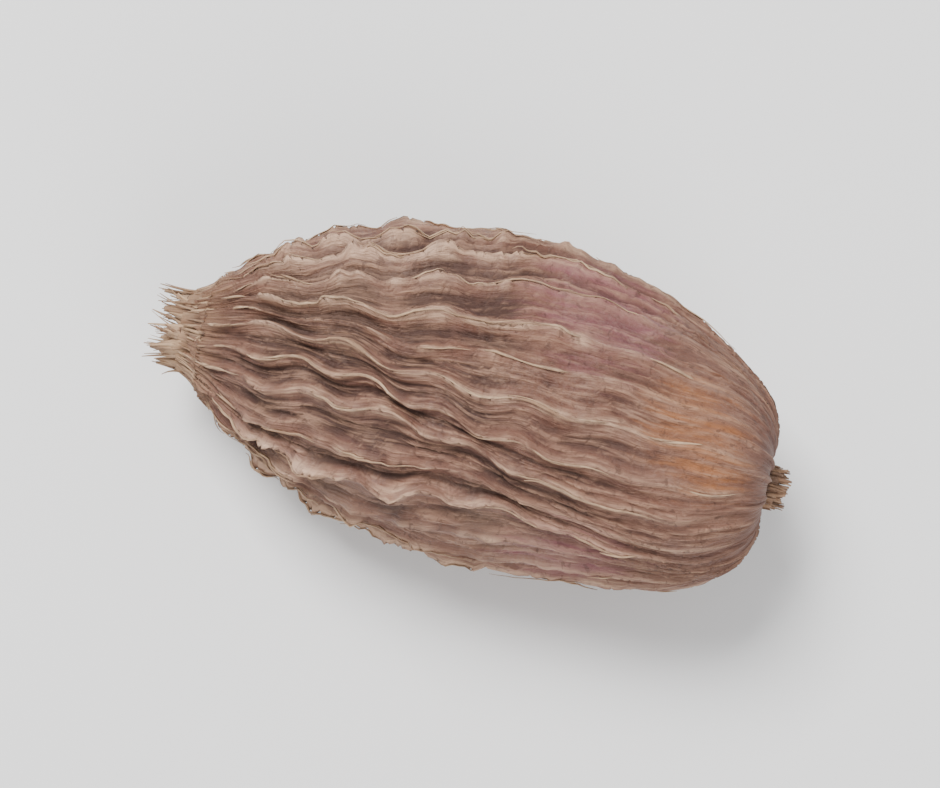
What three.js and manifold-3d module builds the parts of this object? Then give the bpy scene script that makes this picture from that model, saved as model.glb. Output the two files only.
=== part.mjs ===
// A black cardamom pod: a dried, ribbed seed capsule with its torn calyx and the stub of its stalk.
// Millimetres. The pod lies on its side on the plane z = 0, with +Z up and +X from the calyx to the stalk.
// The origin is on that plane, below the middle of the pod.

import * as THREE from "three";
import { mergeVertices } from "three/addons/utils/BufferGeometryUtils.js";
import Module from "manifold-3d";

// The husk's size, before its ribs are raised
const LENGTH = 24.4;
const HALF_WIDTH = 6.6;
const HALF_HEIGHT = 6.05;

// The husk's outline from the stalk's seat to the calyx neck: distance along, and share of the half width
const OUTLINE = [
  [0.95, 0.17],
  [0.1, 0.31],
  [0.75, 0.56],
  [2.9, 0.78],
  [6, 0.92],
  [9.8, 1],
  [13.8, 0.985],
  [17.6, 0.875],
  [20.6, 0.7],
  [22.7, 0.52],
  [23.8, 0.4],
  [LENGTH, 0.335],
];

// Ribs: drawn wings of skin that run from end to end, highest towards the calyx
const RIBS = 26;
const RIB_HEIGHT = 0.82;
const RIB_FOOT = 0.42; // width of a rib's slope, as a share of the way to the next rib
const RIB_SHARPNESS = 1.5;
const RIB_SCATTER = 0.5; // how unevenly the ribs are spaced, in steps from rib to rib
const RIB_SWAY = 0.15; // how far a crest swings from side to side, in the same steps
const PANEL_SAG = 0.14; // how far the dried skin sinks between two ribs
const COLUMNS = [0, 0.2, 0.4, 0.6, 0.8]; // mesh columns from each rib to the next
const HUSK_ROWS = 37;

// How all ribs wander round the pod as they run along it: waves round, waves along, radians and phase
const TWIST = 0.2;
const ROLL = -Math.PI / 2; // which side of the capsule lies uppermost
const WANDER = [
  [2, 0.6, 0.1, 0.4],
  [3, 1.1, 0.06, 2.1],
  [5, 1.7, 0.025, 4.4],
];

// The capsule has three rounded valves, leans to one side at its stalk end and arches a little
const VALVES = 3;
const VALVE_SWELL = 0.035;
const VALVE_PHASE = 0.5;
const LEAN = 1.15;
const ARCH = 0.35;
const TILT = THREE.MathUtils.degToRad(2.5);

// Where the pod lies: the origin's distance along the pod, the axis's height there, and the shift to the side
const MIDDLE = 12.98;
const AXIS_HEIGHT = 5.45;
const SIDE_SHIFT = -0.04;

// Calyx: a waisted tube that ends in torn lobes
const CALYX_GAP = 0.05;
const CALYX_BASE = 2.12;
const CALYX_WAIST = 1.72;
const CALYX_TUBE = 0.95;
const CALYX_LOBES = 11;
const CALYX_FIBRES = 8;

// Stalk stub
const STALK_RADIUS = 0.95;
const STALK_LENGTH = 1.5;
const STALK_FLUTES = 7;

const SEED = 4127;

// A small repeatable random draw between 0 and 1
function drawer(seed) {
  let state = seed;
  return () => {
    state = (state * 16807) % 2147483647;
    return state / 2147483647;
  };
}

const smooth = (low, high, x) => THREE.MathUtils.smoothstep(x, low, high);

// Each rib has its own place, height, sway and broken crest, drawn once in order round the pod
function drawRibs() {
  const draw = drawer(SEED);
  return Array.from({ length: RIBS }, (_, k) => ({
    place: k + (draw() - 0.5) * RIB_SCATTER,
    height: 0.4 + 0.6 * draw(),
    start: 0.3 * draw() ** 2,
    notches: 6 + 5 * draw(),
    raggedness: 0.12 + 0.25 * draw(),
    swings: 4 + 4 * draw(),
    phase: 2 * Math.PI * draw(),
  }));
}

const ribs = drawRibs();

// Height of one rib's crest at a share of the pod's length: low at the stalk, high and ragged near the calyx
function crestHeight(rib, along) {
  const rise = smooth(rib.start - 0.02, rib.start + 0.22, along);
  const swell = 0.38 + 0.62 * smooth(0.25, 0.72, along);
  const neck = 1 - 0.6 * smooth(0.82, 1, along);
  const notched = Math.sin(2 * Math.PI * rib.notches * along + rib.phase) * smooth(0.1, 0.6, along);
  return RIB_HEIGHT * rib.height * rise * swell * neck * (1 + rib.raggedness * notched);
}

// How far a crest swings aside, in steps from rib to rib
const crestSway = (rib, along) =>
  RIB_SWAY * (0.4 + 0.6 * smooth(0.25, 0.7, along)) * Math.sin(2 * Math.PI * rib.swings * along + rib.phase);

// The two ribs that a turn lies between, and its share of the way from one to the other. Turns count ribs.
function neighbours(turn) {
  const wrapped = THREE.MathUtils.euclideanModulo(turn - ribs[0].place, RIBS) + ribs[0].place;
  const after = ribs.findIndex((rib) => rib.place > wrapped);
  const next = after < 0 ? 0 : after;
  const here = ribs[(next + RIBS - 1) % RIBS];
  const gap = THREE.MathUtils.euclideanModulo(ribs[next].place - here.place, RIBS);
  return { here, next: ribs[next], share: (wrapped - here.place) / gap };
}

// How far the husk stands out of its smooth outline
function relief(turn, along) {
  const { here, next, share } = neighbours(turn);
  const fold = (off) => Math.max(0, 1 - off / RIB_FOOT) ** RIB_SHARPNESS;
  const raised = Math.max(crestHeight(here, along) * fold(share), crestHeight(next, along) * fold(1 - share));
  const body = smooth(0.05, 0.4, along) * (1 - smooth(0.85, 1, along));
  return raised - PANEL_SAG * Math.sin(Math.PI * share) ** 2 * body;
}

// The angle round the pod of a turn, which drifts and sways along the pod and takes the ribs with it
function angleAt(turn, along) {
  const { here, next, share } = neighbours(turn);
  const sway = crestSway(here, along) * (1 - share) + crestSway(next, along) * share;
  const start = (turn / RIBS) * 2 * Math.PI;
  let angle = ROLL + start + (sway / RIBS) * 2 * Math.PI + TWIST * along;
  for (const [round, waves, size, phase] of WANDER) {
    angle += size * Math.sin(round * start + 2 * Math.PI * waves * along + phase);
  }
  return angle;
}

const outline = new THREE.CatmullRomCurve3(
  OUTLINE.map(([distance, share]) => new THREE.Vector3(distance, share * HALF_WIDTH, 0)),
  false,
  "catmullrom",
  0.5,
);

// From a place in the straight pod (distance from the stalk end, side, up) to the part's own frame
function lay(distance, side, up) {
  const along = distance / LENGTH;
  const x = MIDDLE - distance;
  const z = up + ARCH * 4 * along * (1 - along);
  return new THREE.Vector3(
    x * Math.cos(TILT) - z * Math.sin(TILT),
    side + SIDE_SHIFT - LEAN * (1 - smooth(0, 0.5, along)),
    x * Math.sin(TILT) + z * Math.cos(TILT) + AXIS_HEIGHT,
  );
}

// A point of the husk: t runs along the outline, and spread is 1 on the skin and 0 on the pod's axis
function huskPoint(t, turn, spread) {
  const place = outline.getPoint(t);
  const tangent = outline.getTangent(t);
  const along = THREE.MathUtils.clamp(place.x / LENGTH, 0, 1);
  const angle = angleAt(turn, along);
  const swell = VALVE_SWELL * Math.cos(VALVES * angle + VALVE_PHASE) * smooth(0.02, 0.2, along) * (1 - along);
  const out = relief(turn, along) * smooth(0, 0.06, t) * spread;
  const radius = (place.y * (1 + swell) + tangent.x * out) * spread;
  const distance = Math.min(place.x - tangent.y * out, LENGTH);
  return lay(distance, radius * Math.cos(angle), (radius * Math.sin(angle) * HALF_HEIGHT) / HALF_WIDTH);
}

function bare(geometry) {
  geometry.deleteAttribute("normal");
  geometry.deleteAttribute("uv");
  return mergeVertices(geometry, 1e-5);
}

// The husk starts as a lathe of its rows and columns, whose points are then moved onto the ribbed pod
function huskGeometry() {
  const rows = [[0, 0]];
  for (let i = 0; i <= HUSK_ROWS; i++) {
    rows.push([i / HUSK_ROWS, 1]);
  }
  rows.push([1, 0]);
  const turns = ribs.flatMap(({ place }, k) => {
    const gap = THREE.MathUtils.euclideanModulo(ribs[(k + 1) % RIBS].place - place, RIBS);
    return COLUMNS.map((share) => place + share * gap);
  });
  turns.push(turns[0]);
  const lathe = new THREE.LatheGeometry(
    rows.map(([t, spread]) => new THREE.Vector2(spread, t)),
    turns.length - 1,
  );
  const place = lathe.getAttribute("position");
  turns.forEach((turn, column) => {
    rows.forEach(([t, spread], row) => {
      const point = huskPoint(t, turn, spread);
      place.setXYZ(column * rows.length + row, point.x, point.y, point.z);
    });
  });
  return bare(lathe);
}

// A tapered strand: a cylinder laid along a curve of the straight pod, flattened, and drawn to a narrow tip
function strandGeometry({ from, by, to, width, thickness, sides = 6, steps = 4, tip = 0.3 }) {
  const geometry = new THREE.CylinderGeometry(1, 1, 1, sides, steps);
  const curve = new THREE.QuadraticBezierCurve3(from, by, to);
  const outward = new THREE.Vector3(0, from.y + to.y, from.z + to.z).normalize();
  const place = geometry.getAttribute("position");
  for (let i = 0; i < place.count; i++) {
    const share = place.getY(i) + 0.5;
    const size = 1 - (1 - tip) * share ** 1.3;
    const across = new THREE.Vector3().crossVectors(curve.getTangent(share), outward).normalize();
    const point = curve
      .getPoint(share)
      .addScaledVector(across, (place.getX(i) * width * size) / 2)
      .addScaledVector(outward, (place.getZ(i) * thickness * Math.sqrt(size)) / 2);
    const laid = lay(point.x, point.y, point.z);
    place.setXYZ(i, laid.x, laid.y, laid.z);
  }
  return bare(geometry);
}

// A lathe round the pod's own axis, with points of radius and distance, fluted by a few grooves
function fluted(points, sides, flutes, depth) {
  const geometry = new THREE.LatheGeometry(
    points.map(([radius, distance]) => new THREE.Vector2(radius, distance)),
    sides,
  );
  const place = geometry.getAttribute("position");
  for (let i = 0; i < place.count; i++) {
    const angle = Math.atan2(place.getZ(i), place.getX(i));
    const size = 1 - depth * (0.5 + 0.5 * Math.cos(flutes * angle));
    const laid = lay(place.getY(i), place.getX(i) * size, place.getZ(i) * size);
    place.setXYZ(i, laid.x, laid.y, laid.z);
  }
  return bare(geometry);
}

const wasm = await Module();
wasm.setup();

// A solid from a closed geometry, turned right side out if its triangles face inwards
function solid(geometry) {
  const vertProperties = new Float32Array(geometry.getAttribute("position").array);
  const triVerts = new Uint32Array(geometry.index.array);
  const made = new wasm.Manifold(new wasm.Mesh({ numProp: 3, vertProperties, triVerts }));
  if (made.volume() > 0) {
    return made;
  }
  triVerts.reverse();
  return new wasm.Manifold(new wasm.Mesh({ numProp: 3, vertProperties, triVerts }));
}

function geometryOf(made) {
  const { vertProperties, triVerts } = made.getMesh();
  const geometry = new THREE.BufferGeometry();
  geometry.setAttribute("position", new THREE.BufferAttribute(vertProperties, 3));
  geometry.setIndex(new THREE.BufferAttribute(triVerts, 1));
  geometry.computeVertexNormals();
  return geometry;
}

// The husk, flat where its own weight has pressed it against the surface
function husk() {
  const below = new THREE.BoxGeometry(80, 80, 20);
  below.translate(0, 0, -10);
  return solid(huskGeometry()).subtract(solid(bare(below)));
}

// A point in the straight pod at a radius and angle round its axis
const around = (distance, radius, angle) =>
  new THREE.Vector3(distance, radius * Math.cos(angle), radius * Math.sin(angle));

// The torn calyx: a short waisted tube on the neck, with ragged lobes and stiff fibres standing round its rim
function calyx() {
  const draw = drawer(SEED + 1);
  const root = LENGTH + CALYX_GAP;
  let made = solid(
    fluted(
      [
        [0, root],
        [CALYX_BASE, root],
        [CALYX_BASE * 0.9, root + CALYX_TUBE * 0.4],
        [CALYX_WAIST, root + CALYX_TUBE],
        [CALYX_WAIST * 0.5, root + CALYX_TUBE * 1.05],
        [0, root + CALYX_TUBE * 0.7],
      ],
      33,
      CALYX_LOBES,
      0.1,
    ),
  );
  const rim = root + CALYX_TUBE;
  for (let k = 0; k < CALYX_LOBES; k++) {
    const angle = ((k + 0.5 * draw()) / CALYX_LOBES) * 2 * Math.PI;
    const length = 0.5 + 1.0 * draw();
    const flare = 0.35 * draw();
    const lobe = strandGeometry({
      from: around(rim - 0.9, CALYX_WAIST * 1.02, angle),
      by: around(rim - 0.1, CALYX_WAIST * 0.86, angle),
      to: around(rim + length, CALYX_WAIST * 0.84 + flare, angle + 0.3 * (draw() - 0.5)),
      width: 1.05 + 0.35 * draw(),
      thickness: 0.62,
      tip: 0.45,
    });
    made = made.add(solid(lobe));
  }
  for (let k = 0; k < CALYX_FIBRES; k++) {
    const angle = ((k + 0.6 * draw()) / CALYX_FIBRES) * 2 * Math.PI;
    const length = 0.9 + 0.7 * draw();
    const fibre = strandGeometry({
      from: around(rim - 0.7, 1.0, angle),
      by: around(rim + 0.2, 0.95, angle),
      to: around(rim + length, 0.7 + 0.9 * draw(), angle + 0.5 * (draw() - 0.5)),
      width: 0.6,
      thickness: 0.6,
      sides: 5,
      tip: 0.5,
    });
    made = made.add(solid(fibre));
  }
  return made;
}

// The stub of the stalk in its seat, with a few broken fibres on its end
function stalk() {
  const draw = drawer(SEED + 2);
  const root = OUTLINE[0][0] - CALYX_GAP;
  const end = root - STALK_LENGTH;
  let made = solid(
    fluted(
      [
        [0, root],
        [STALK_RADIUS, root],
        [STALK_RADIUS * 0.94, root - STALK_LENGTH * 0.5],
        [STALK_RADIUS * 1.02, end],
        [0, end + 0.15],
      ],
      21,
      STALK_FLUTES,
      0.13,
    ),
  );
  for (let k = 0; k < STALK_FLUTES; k++) {
    const angle = ((k + 0.3 * draw()) / STALK_FLUTES) * 2 * Math.PI;
    const fibre = strandGeometry({
      from: around(end + 0.4, 0.55, angle),
      by: around(end - 0.05, 0.6, angle),
      to: around(end - 0.15 - 0.3 * draw(), 0.62, angle),
      width: 0.5,
      thickness: 0.4,
      sides: 5,
      steps: 1,
      tip: 0.55,
    });
    made = made.add(solid(fibre));
  }
  return made;
}

const huskBrown = new THREE.MeshStandardMaterial({ color: 0x7a5244, roughness: 0.72, metalness: 0 });
const calyxStraw = new THREE.MeshStandardMaterial({ color: 0xa88468, roughness: 0.8, metalness: 0 });
const stalkStraw = new THREE.MeshStandardMaterial({ color: 0x977259, roughness: 0.85, metalness: 0 });

function named(name, made, material) {
  const mesh = new THREE.Mesh(geometryOf(made), material);
  mesh.name = name;
  return mesh;
}

const pod = new THREE.Group();
pod.add(named("husk", husk(), huskBrown));
pod.add(named("calyx", calyx(), calyxStraw));
pod.add(named("stalk", stalk(), stalkStraw));

export default pod;
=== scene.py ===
# %% [markdown]
# # A black cardamom pod
#
# This lesson finishes one dried pod of black cardamom that lies on a pale table. The frame already holds
# the pod as three plain solids: the husk, the torn calyx on its narrow end and the stub of the stalk on its
# broad end. Each is replaced here by a finer piece of the same form, and gets a material that is made of
# nodes alone.

# %% Load the frame
import math

import bpy
import numpy as np
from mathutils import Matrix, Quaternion, Vector, noise


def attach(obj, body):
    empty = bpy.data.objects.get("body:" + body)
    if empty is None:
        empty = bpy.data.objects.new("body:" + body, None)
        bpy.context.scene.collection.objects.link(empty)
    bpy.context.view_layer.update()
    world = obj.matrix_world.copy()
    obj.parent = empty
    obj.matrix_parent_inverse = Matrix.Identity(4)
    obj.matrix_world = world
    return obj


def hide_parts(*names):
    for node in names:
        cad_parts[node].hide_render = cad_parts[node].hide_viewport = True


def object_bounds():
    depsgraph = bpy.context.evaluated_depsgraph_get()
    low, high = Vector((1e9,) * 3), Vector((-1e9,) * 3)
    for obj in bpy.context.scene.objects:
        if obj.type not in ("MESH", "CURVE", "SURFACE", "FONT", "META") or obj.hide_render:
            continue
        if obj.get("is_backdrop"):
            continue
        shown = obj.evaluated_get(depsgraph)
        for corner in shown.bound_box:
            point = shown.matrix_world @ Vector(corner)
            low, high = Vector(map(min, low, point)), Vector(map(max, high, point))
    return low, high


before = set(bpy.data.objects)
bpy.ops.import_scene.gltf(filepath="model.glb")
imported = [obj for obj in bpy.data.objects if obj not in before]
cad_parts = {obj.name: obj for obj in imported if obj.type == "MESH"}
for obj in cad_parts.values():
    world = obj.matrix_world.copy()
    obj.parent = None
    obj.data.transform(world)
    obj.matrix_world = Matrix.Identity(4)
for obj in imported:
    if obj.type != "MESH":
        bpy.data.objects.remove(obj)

cad_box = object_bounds()
MM = 0.001
print("nodes:", sorted(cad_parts))

# %% [markdown]
# ## The form of the pod
#
# A dried pod is a seed capsule with a leathery skin. The skin shrank as it dried, so that its veins stand
# up as wavy ribs. A form like that could be sculpted by hand, but a formula keeps it exact: every point of
# the skin has a place along the pod, a place round it, and a height above a smooth egg. The values are in
# millimetres and are those of the solids, so the fine pieces land where the plain ones are.

# %% The values of the form
LENGTH = 24.4
HALF_WIDTH = 6.6
HALF_HEIGHT = 6.05
OUTLINE = np.array([  # distance from the stalk end, and share of the half width
    (0.95, 0.17), (0.1, 0.31), (0.75, 0.56), (2.9, 0.78), (6, 0.92), (9.8, 1),
    (13.8, 0.985), (17.6, 0.875), (20.6, 0.7), (22.7, 0.52), (23.8, 0.4), (LENGTH, 0.335),
]) * (1, HALF_WIDTH)
RIBS = 26
RIB_HEIGHT = 0.82
RIB_FOOT = 0.42
RIB_SHARPNESS = 1.5
RIB_SCATTER = 0.5
RIB_SWAY = 0.15
PANEL_SAG = 0.14
TWIST = 0.2
ROLL = -math.pi / 2
WANDER = ((2, 0.6, 0.1, 0.4), (3, 1.1, 0.06, 2.1), (5, 1.7, 0.025, 4.4))
VALVES = 3
VALVE_SWELL = 0.035
VALVE_PHASE = 0.5
LEAN = 1.15
ARCH = 0.35
TILT = math.radians(2.5)
MIDDLE = 12.98
AXIS_HEIGHT = 5.45
SIDE_SHIFT = -0.04
CALYX_GAP = 0.05
CALYX_BASE = 2.12
CALYX_WAIST = 1.72
CALYX_TUBE = 0.95
RIM = LENGTH + CALYX_GAP + CALYX_TUBE
CALYX_PROFILE = np.array([  # radius and distance of the calyx's tube, from inside the husk to its hollow end
    (2.27, LENGTH - 0.25), (2.27, LENGTH + 0.03), (CALYX_BASE, LENGTH + 0.2), (1.95, LENGTH + 0.5),
    (1.78, LENGTH + 0.85), (CALYX_WAIST, RIM), (1.55, RIM + 0.06), (1.24, RIM - 0.1), (0.69, RIM - 0.4),
    (0.17, RIM - 0.5),
])
SEED = 4127
FULL_TURN = 2 * math.pi
NOISE_STEP = 31  # how far apart two seeds read the same noise
print("husk:", LENGTH, "by", 2 * HALF_WIDTH, "by", 2 * HALF_HEIGHT, "mm before its ribs are raised")


# %% Draw the ribs
def smooth(low, high, x):
    share = np.clip((x - low) / (high - low), 0, 1)
    return share * share * (3 - 2 * share)


def drawer(seed):
    """Small repeatable random draws between 0 and 1, the same ones that placed the ribs of the solid."""
    state = seed

    def draw():
        nonlocal state
        state = state * 16807 % 2147483647
        return state / 2147483647

    return draw


def between(limits, draw):
    low, high = limits
    return low + (high - low) * draw()


def draw_ribs():
    draw = drawer(SEED)
    names = ("place", "height", "start", "notches", "raggedness", "swings", "phase")
    rows = [
        (
            k + (draw() - 0.5) * RIB_SCATTER, 0.4 + 0.6 * draw(), 0.3 * draw() ** 2, 6 + 5 * draw(),
            0.12 + 0.25 * draw(), 4 + 4 * draw(), FULL_TURN * draw(),
        )
        for k in range(RIBS)
    ]
    return dict(zip(names, np.array(rows).T))


rib = draw_ribs()
rib_gap = (np.roll(rib["place"], -1) - rib["place"]) % RIBS
print("ribs:", RIBS, "gaps from", rib_gap.min().round(2), "to", rib_gap.max().round(2))


# %% Noise and the egg's outline
def grain(turn, along, cells_round, cells_along, seed):
    """Noise between about -1 and 1 that closes on itself round the pod. Turns count ribs."""
    turn, along = np.broadcast_arrays(turn, along)
    angle = turn / RIBS * FULL_TURN
    radius = cells_round / FULL_TURN
    across = radius * np.cos(angle) + NOISE_STEP * seed
    points = np.stack([across, radius * np.sin(angle), along * cells_along], axis=-1)
    return np.array([noise.noise(p) for p in points.reshape(-1, 3).tolist()]).reshape(turn.shape)


def outline(t):
    """The smooth egg's outline at a share t of it: distance from the stalk end, and radius."""
    points = np.vstack([2 * OUTLINE[0] - OUTLINE[1], OUTLINE, 2 * OUTLINE[-1] - OUTLINE[-2]])
    spans = len(OUTLINE) - 1
    place = np.clip(t, 0, 1) * spans
    first = np.minimum(place.astype(int), spans - 1)
    w = (place - first)[..., None]
    before, start, end, after = (points[first + i] for i in range(4))
    leave, arrive = (end - before) / 2, (after - start) / 2
    bend = -3 * start + 3 * end - 2 * leave - arrive
    return start + leave * w + bend * w**2 + (2 * start - 2 * end + leave + arrive) * w**3


widest = 2 * outline(np.linspace(0, 1, 200))[:, 1].max()
print("the egg is", widest.round(2), "mm across at its widest")


# %% From the straight pod to the frame
def lay(distance, side, up):
    """From a place in the straight pod, in millimetres, to the frame, in metres."""
    along = distance / LENGTH
    x = MIDDLE - distance
    z = up + ARCH * 4 * along * (1 - along)
    placed = [
        x * math.cos(TILT) - z * math.sin(TILT),
        side + SIDE_SHIFT - LEAN * (1 - smooth(0, 0.5, along)),
        x * math.sin(TILT) + z * math.cos(TILT) + AXIS_HEIGHT,
    ]
    return MM * np.stack(np.broadcast_arrays(*placed), axis=-1)


ends = lay(np.array([0, LENGTH]), 0, 0) / MM
print("its axis runs from", ends[0].round(2), "to", ends[1].round(2), "mm")


# %% Where each rib runs
def crest_height(k, along):
    """Height of a rib's crest in mm: low at both ends, high and notched towards the calyx."""
    rise = smooth(rib["start"][k] - 0.02, rib["start"][k] + 0.22, along)
    swell = 0.38 + 0.62 * smooth(0.25, 0.72, along)
    neck = 1 - 0.6 * smooth(0.82, 1, along)
    notched = np.sin(FULL_TURN * rib["notches"][k] * along + rib["phase"][k]) * smooth(0.1, 0.6, along)
    return RIB_HEIGHT * rib["height"][k] * rise * swell * neck * (1 + rib["raggedness"][k] * notched)


def angle_at(k, share, along):
    """The angle round the pod at a share of the way from rib k to the next."""
    def sway(n):
        reach = RIB_SWAY * (0.4 + 0.6 * smooth(0.25, 0.7, along))
        return reach * np.sin(FULL_TURN * rib["swings"][n] * along + rib["phase"][n])

    start = (rib["place"][k] + share * rib_gap[k]) / RIBS * FULL_TURN
    swayed = (sway(k) * (1 - share) + sway((k + 1) % RIBS) * share) / RIBS * FULL_TURN
    drift = sum(
        size * np.sin(n * start + FULL_TURN * waves * along + phase) for n, waves, size, phase in WANDER
    )
    return ROLL + start + swayed + TWIST * along + drift


turned_by = math.degrees(angle_at(0, 0.0, 1.0) - angle_at(0, 0.0, 0.0))
print("the first rib turns by", round(turned_by), "degrees on its way to the calyx")

# %% [markdown]
# ## The fine relief of the skin
#
# Close to, the skin has more than its ribs. Thin veins run between them and come and go, the crests are
# frayed, the panels are cross-wrinkled, and the seeds inside press soft lumps into it. All of these are
# real height here and not bump, because they show in the outline and catch the light. They are kept low, so
# the husk stays in its solid's form.

# %% Frayed ribs
CREST_FRAY = 0.55  # how much the height of a crest varies along it
FOOT_FRAY = 0.3
START_HEIGHT = 0.12  # a rib starts at the stalk as a thin straight line
START_SHADE = 0.7


def frayed_ribs(k, share, along):
    """Height of the ribs in mm, and a mask of 0 to 1 for their crests, which are worn pale and also get a
    painted highlight.
    """
    nearness = np.maximum(1 - share, share)
    nearest = np.where(share < 0.5, rib["place"][k], rib["place"][k] + rib_gap[k])
    frayed = 1 + CREST_FRAY * grain(nearest, along, RIBS * 3, 52, 1) * smooth(0.08, 0.4, along)
    foot = RIB_FOOT * (0.94 + FOOT_FRAY * grain(nearest, along, RIBS * 2, 21, 2))
    here = crest_height(k, along) * np.maximum(0, 1 - share / foot) ** RIB_SHARPNESS
    there = crest_height((k + 1) % RIBS, along) * np.maximum(0, 1 - (1 - share) / foot) ** RIB_SHARPNESS
    raised = np.maximum(here, there) * frayed
    start = smooth(0.015, 0.1, along) * (1 - smooth(0.3, 0.5, along)) * smooth(0.78, 1, nearness)
    start = start * (0.65 + 0.7 * grain(nearest, along, RIBS * 2, 5, 15)).clip(0, 1)
    usual = 0.45 + 0.55 * smooth(0.2, 0.7, along)
    # Partly real wear and partly painted highlight: the crests are painted pale where they stand highest.
    pale_and_lit = smooth(0.16, 0.62, raised / usual) * smooth(0.3, 0.75, nearness**1.3)
    return raised + START_HEIGHT * start, np.maximum(pale_and_lit, START_SHADE * start)


crests = frayed_ribs(np.arange(RIBS), np.zeros(RIBS), np.full(RIBS, 0.6))[0]
print("crests are", crests.min().round(2), "to", crests.max().round(2), "mm high at six tenths of the pod")

# %% Veins between the ribs
VEINS = ((0.2, 11), (0.42, 12), (0.64, 13))  # lowest share of the way across a panel, and seed
VEIN_FOOT = 0.13
VEIN_SPREAD = 0.14
VEIN_HEIGHTS = (0.1, 0.26)  # lowest and highest


def draw_veins(lowest, seed):
    """One vein for each panel: its share of the way across, and its height."""
    draw = drawer(SEED + seed)
    return np.array([(lowest + VEIN_SPREAD * draw(), between(VEIN_HEIGHTS, draw)) for _ in range(RIBS)]).T


veins = [draw_veins(lowest, seed) for lowest, seed in VEINS]


def vein_height(k, share, along):
    """Height of the thin veins, which sway, and come and go along their panel."""
    highest = np.zeros_like(share)
    for n, (place, height) in enumerate(veins):
        middle = place[k] + 0.05 * np.sin(FULL_TURN * (3 + place[k] * 9) * along + 9 * height[k])
        off = np.abs(share - middle) / VEIN_FOOT
        shown = smooth(-0.35, 0.15, grain(rib["place"][k] + n, along, RIBS * 2, 9, 3 + n))
        highest = np.maximum(highest, height[k] * shown * np.maximum(0, 1 - off) ** 1.2)
    return highest


print("veins:", len(veins) * RIBS)

# %% The whole relief
WRINKLE_HEIGHT = 0.09
LUMP_HEIGHT = 0.2
LINE_HEIGHT = 0.17


def relief(k, share, along):
    """Height above the smooth egg, with masks of 0 to 1 for crests, veins and furrows. The furrow mask paints
    shade into the hollows between the ribs.
    """
    turn = rib["place"][k] + share * rib_gap[k]
    raised, crest = frayed_ribs(k, share, along)
    vein = vein_height(k, share, along)
    body = smooth(0.04, 0.3, along) * (1 - smooth(0.85, 1, along))
    panel = np.sin(math.pi * share) ** 2 * body
    wrinkles = WRINKLE_HEIGHT * grain(turn, along, RIBS * 2, 64, 6) * panel
    wandering = turn + 0.3 * grain(turn, along, RIBS, 14, 8)
    line = (0.35 - np.abs(grain(wandering, along, RIBS * 5, 12, 5))) * smooth(0, 0.05, along)
    lumps = LUMP_HEIGHT * grain(turn, along, 9, 6, 7) * body
    height = raised + vein * (0.75 + 0.25 * smooth(0, 0.5, along)) + wrinkles + LINE_HEIGHT * line + lumps
    height -= PANEL_SAG * panel
    highest = np.maximum(crest_height(k, along), crest_height((k + 1) % RIBS, along))
    # Painted shade: this mask darkens the skin where it lies low between the ribs.
    furrow = smooth(0.05, 0.4, highest * 0.6 - height)
    thread = np.maximum(smooth(0.03, 0.15, vein), 0.6 * smooth(0.18, 0.34, line))
    return height, crest, thread, furrow


panels = np.meshgrid(np.arange(RIBS), np.linspace(0, 1, 20))
heights = relief(*panels, np.full((20, RIBS), 0.6))[0]
print("the skin there is", heights.min().round(2), "to", heights.max().round(2), "mm above the egg")

# %% Places of the skin
def skin_place(t, k, share, spread=1.0, lift=0.0, told=None):
    """Places of the skin in the straight pod at a share t of the outline. Lift raises them off it, in mm."""
    t, k, share = np.broadcast_arrays(t, k, share)
    place = outline(t)
    ahead = outline(t + 1e-4) - outline(t - 1e-4)
    ahead /= np.linalg.norm(ahead, axis=-1, keepdims=True)
    along = np.clip(place[..., 0] / LENGTH, 0, 1)
    angle = angle_at(k, share, along)
    swell = VALVE_SWELL * np.cos(VALVES * angle + VALVE_PHASE) * smooth(0.02, 0.2, along) * (1 - along)
    height, *masks = relief(k, share, along)
    out = (height * smooth(0, 0.06, t) + lift) * spread
    radius = (place[..., 1] * (1 + swell) + ahead[..., 0] * out) * spread
    distance = np.minimum(place[..., 0] - ahead[..., 1] * out, LENGTH)
    if told is not None:
        told.update(crest=masks[0], vein=masks[1], furrow=masks[2], along=along)
    return distance, radius * np.cos(angle), radius * np.sin(angle) * HALF_HEIGHT / HALF_WIDTH


def skin(*place, **options):
    """Points of the skin, in metres."""
    return lay(*skin_place(*place, **options))


first_crest = skin(np.linspace(0, 1, 5), 0, 0.0) / MM
print("the first crest runs through", first_crest.round(1).tolist())

# %% [markdown]
# ## Small helpers for making pieces
#
# Operators act on all that is selected, and the frame leaves its own nodes selected, so everything is
# deselected before a primitive is added. A finished piece keeps its object at the origin and its place in
# its mesh.

# %% Helpers for pieces
def deselect():
    if bpy.context.object and bpy.context.object.mode != "OBJECT":
        bpy.ops.object.mode_set(mode="OBJECT")
    bpy.ops.object.select_all(action="DESELECT")


def points_of(piece):
    flat = np.empty(len(piece.data.vertices) * 3)
    piece.data.vertices.foreach_get("co", flat)
    return flat.reshape(-1, 3)


def set_points(piece, points):
    piece.data.vertices.foreach_set("co", np.asarray(points, dtype=float).ravel())
    piece.data.update()


def keep(piece, name, values):
    """Stores a value or a vector for each point of the piece, for its material to read."""
    values = np.asarray(values, dtype=float)
    vector = values.ndim == 2
    layer = piece.data.attributes.new(name, "FLOAT_VECTOR" if vector else "FLOAT", "POINT")
    layer.data.foreach_set("vector" if vector else "value", values.ravel())


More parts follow.
